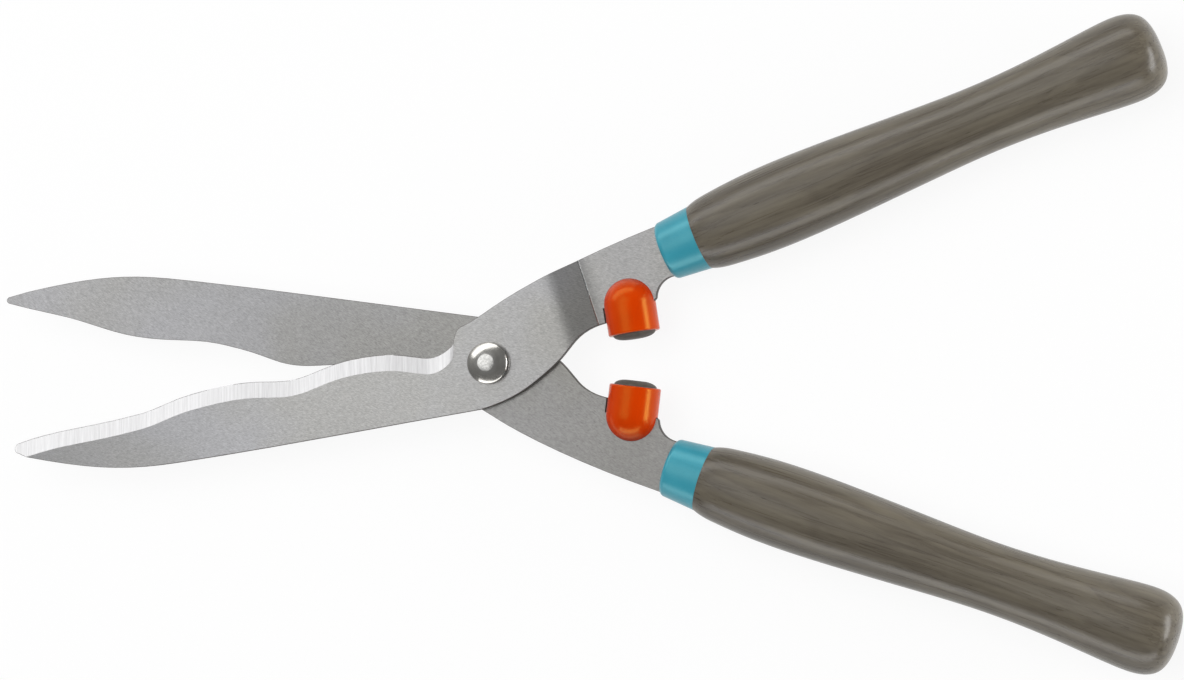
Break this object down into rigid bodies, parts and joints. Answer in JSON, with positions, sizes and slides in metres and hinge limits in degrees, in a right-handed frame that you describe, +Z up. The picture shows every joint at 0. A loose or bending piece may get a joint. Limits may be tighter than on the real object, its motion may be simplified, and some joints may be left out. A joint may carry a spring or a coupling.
{
  "type": "hedge shears",
  "caption": "Hand hedge shears: two wavy-edged blades on a pivot bolt, with rubber buffers and turned wooden handles, shown slightly open.",
  "frame": {"origin": "where the pivot axis meets the surface the shears lie on: the centre of the pivot bolt's flat end", "axes": "+Z up along the pivot axis, +X from the blade tips towards the handles along the bisector, +Y towards the handle of the front (upper) blade"},
  "size_m": [0.5259, 0.278, 0.0372],
  "materials": {
    "blade_steel": "satin ground, bevels bright",
    "polished_steel": "polished",
    "zinc_steel": "zinc plated",
    "nylon": "matte",
    "orange_plastic": "satin gloss",
    "buffer_rubber": "matte",
    "turquoise_plastic": "satin",
    "stained_wood": "dark stain, satin lacquer"
  },
  "bodies": {
    "front_half": {"front_blade": "blade_steel", "pivot_bolt": "polished_steel", "pivot_washer": "zinc_steel", "disc_spring": "zinc_steel", "lock_nut": "zinc_steel", "nut_insert": "nylon", "front_cap": "orange_plastic", "front_buffer": "buffer_rubber", "front_ferrule": "turquoise_plastic", "front_handle": "stained_wood"},
    "back_half": {"back_blade": "blade_steel", "back_cap": "orange_plastic", "back_buffer": "buffer_rubber", "back_ferrule": "turquoise_plastic", "back_handle": "stained_wood"}
  },
  "joints": [
    {"name": "blade_pivot", "type": "hinge", "parent": "front_half", "child": "back_half", "pos_m": [0, 0, 0.0186], "axis": [0, 0, -1], "range_deg": [-16, 90]}
  ]
}
